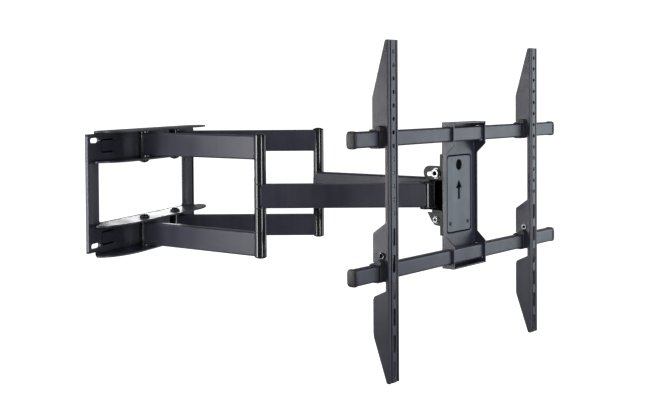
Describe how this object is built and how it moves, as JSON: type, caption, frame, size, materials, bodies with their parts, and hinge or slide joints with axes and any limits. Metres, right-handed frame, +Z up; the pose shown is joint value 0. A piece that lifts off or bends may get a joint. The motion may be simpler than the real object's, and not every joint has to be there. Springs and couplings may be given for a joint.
{
  "type": "full motion tv wall mount",
  "caption": "Folding two-arm wall bracket that carries a tilting, swivelling frame with sliding uprights for a flat television.",
  "frame": {"origin": "middle of the wall plate's back face, where it meets the wall", "axes": "+Z up, +Y into the wall, -Y out into the room, +X to the right when facing the wall"},
  "size_m": [0.742, 0.8971, 0.64],
  "materials": {
    "powder_coated_steel": "fine satin powder coat",
    "satin_plate": "lighter satin powder coat",
    "gloss_black_steel": "smooth semi-gloss paint",
    "zinc_hardware": "zinc-plated",
    "black_plastic": "moulded nylon"
  },
  "bodies": {
    "wall_plate": {"wall_frame": "powder_coated_steel", "upper_crossbar": "powder_coated_steel", "lower_crossbar": "powder_coated_steel"},
    "shoulder_pin_left": {"shoulder_pins_left": "gloss_black_steel"},
    "shoulder_pin_right": {"shoulder_pins_right": "gloss_black_steel"},
    "arm_left": {"arm_tube_upper_left": "powder_coated_steel", "arm_tube_lower_left": "powder_coated_steel", "arm_barrels_left": "gloss_black_steel", "shoulder_bushes_left": "black_plastic", "elbow_shaft_left": "zinc_hardware", "elbow_sleeves_left": "gloss_black_steel", "elbow_caps_left": "black_plastic"},
    "arm_right": {"arm_tube_upper_right": "powder_coated_steel", "arm_tube_lower_right": "powder_coated_steel", "arm_barrels_right": "gloss_black_steel", "shoulder_bushes_right": "black_plastic", "elbow_shaft_right": "zinc_hardware", "elbow_sleeves_right": "gloss_black_steel", "elbow_caps_right": "black_plastic"},
    "forearm_left": {"forearm_tube_left": "powder_coated_steel", "forearm_barrels_left": "gloss_black_steel", "elbow_bushes_left": "black_plastic", "hand_bushes_left": "black_plastic"},
    "forearm_right": {"forearm_tube_right": "powder_coated_steel", "forearm_barrels_right": "gloss_black_steel", "elbow_bushes_right": "black_plastic", "hand_bushes_right": "black_plastic"},
    "head_pin_left": {"head_pin_left": "zinc_hardware"},
    "yoke": {"yoke": "gloss_black_steel", "head_pin_right": "zinc_hardware"},
    "swivel_bracket": {"swivel_top_bracket": "gloss_black_steel", "swivel_bottom_bracket": "gloss_black_steel", "swivel_spindle": "zinc_hardware", "swivel_nut": "zinc_hardware", "thrust_washers": "black_plastic", "tilt_lock_bolts": "zinc_hardware", "tilt_lock_nuts": "zinc_hardware", "tilt_pivot_bolts": "zinc_hardware", "tilt_pivot_nuts": "zinc_hardware"},
    "tv_head": {"tilt_bracket": "gloss_black_steel", "head_plate": "powder_coated_steel", "cover_plate": "satin_plate", "cover_screws": "gloss_black_steel", "upper_rail": "powder_coated_steel", "lower_rail": "powder_coated_steel", "rail_end_caps": "black_plastic"},
    "vesa_left": {"vesa_bracket_left": "powder_coated_steel", "hook_liners_left": "black_plastic", "safety_screw_left": "gloss_black_steel"},
    "vesa_right": {"vesa_bracket_right": "powder_coated_steel", "hook_liners_right": "black_plastic", "safety_screw_right": "zinc_hardware"}
  },
  "joints": [
    {"name": "pan", "type": "hinge", "parent": "wall_plate", "child": "shoulder_pin_left", "pos_m": [-0.072, -0.045, 0], "axis": [0, 0, 1], "range_deg": [-11.3, 8.7]},
    {"name": "pan_right", "type": "hinge", "parent": "wall_plate", "child": "shoulder_pin_right", "pos_m": [0.072, -0.045, 0], "axis": [0, 0, 1], "range_deg": [-11.3, 8.7]},
    {"name": "extend", "type": "hinge", "parent": "shoulder_pin_left", "child": "arm_left", "pos_m": [-0.072, -0.045, 0], "axis": [0, 0, 1], "range_deg": [-51.5, 12]},
    {"name": "extend_right", "type": "hinge", "parent": "shoulder_pin_right", "child": "arm_right", "pos_m": [0.072, -0.045, 0], "axis": [0, 0, 1], "range_deg": [-12, 51.5]},
    {"name": "elbow_left", "type": "hinge", "parent": "arm_left", "child": "forearm_left", "pos_m": [-0.17199, -0.37206, 0], "axis": [0, 0, 1], "range_deg": [-24, 103]},
    {"name": "elbow_right", "type": "hinge", "parent": "arm_right", "child": "forearm_right", "pos_m": [0.18672, -0.36718, 0], "axis": [0, 0, 1], "range_deg": [-103, 24]},
    {"name": "hand_left", "type": "hinge", "parent": "forearm_left", "child": "head_pin_left", "pos_m": [-0.05727, -0.69424, 0], "axis": [0, 0, 1], "range_deg": [-51.5, 12]},
    {"name": "yoke_left", "type": "hinge", "parent": "head_pin_left", "child": "yoke", "pos_m": [-0.05727, -0.69424, 0], "axis": [0, 0, 1], "range_deg": [-8.7, 11.3]},
    {"name": "swivel", "type": "hinge", "parent": "yoke", "child": "swivel_bracket", "pos_m": [0.01473, -0.70624, 0], "axis": [0, 0, 1], "range_deg": [-11.2, 48.8]},
    {"name": "tilt", "type": "hinge", "parent": "swivel_bracket", "child": "tv_head", "pos_m": [0.00668, -0.72991, -0.052], "axis": [0.9466, -0.3223, 0], "range_deg": [-2, 12]},
    {"name": "slide_left", "type": "slide", "parent": "tv_head", "child": "vesa_left", "axis": [0.9466, -0.3223, 0], "range_m": [-0.01, 0.19]},
    {"name": "slide_right", "type": "slide", "parent": "tv_head", "child": "vesa_right", "axis": [0.9466, -0.3223, 0], "range_m": [-0.157, 0.043]}
  ],
  "couplings": [
    {"joint": "pan_right", "follows": "pan", "ratio": 1},
    {"joint": "extend_right", "follows": "extend", "ratio": -1},
    {"joint": "elbow_left", "follows": "extend", "ratio": -2},
    {"joint": "elbow_right", "follows": "extend", "ratio": 2},
    {"joint": "hand_left", "follows": "extend", "ratio": 1},
    {"joint": "yoke_left", "follows": "pan", "ratio": -1}
  ]
}
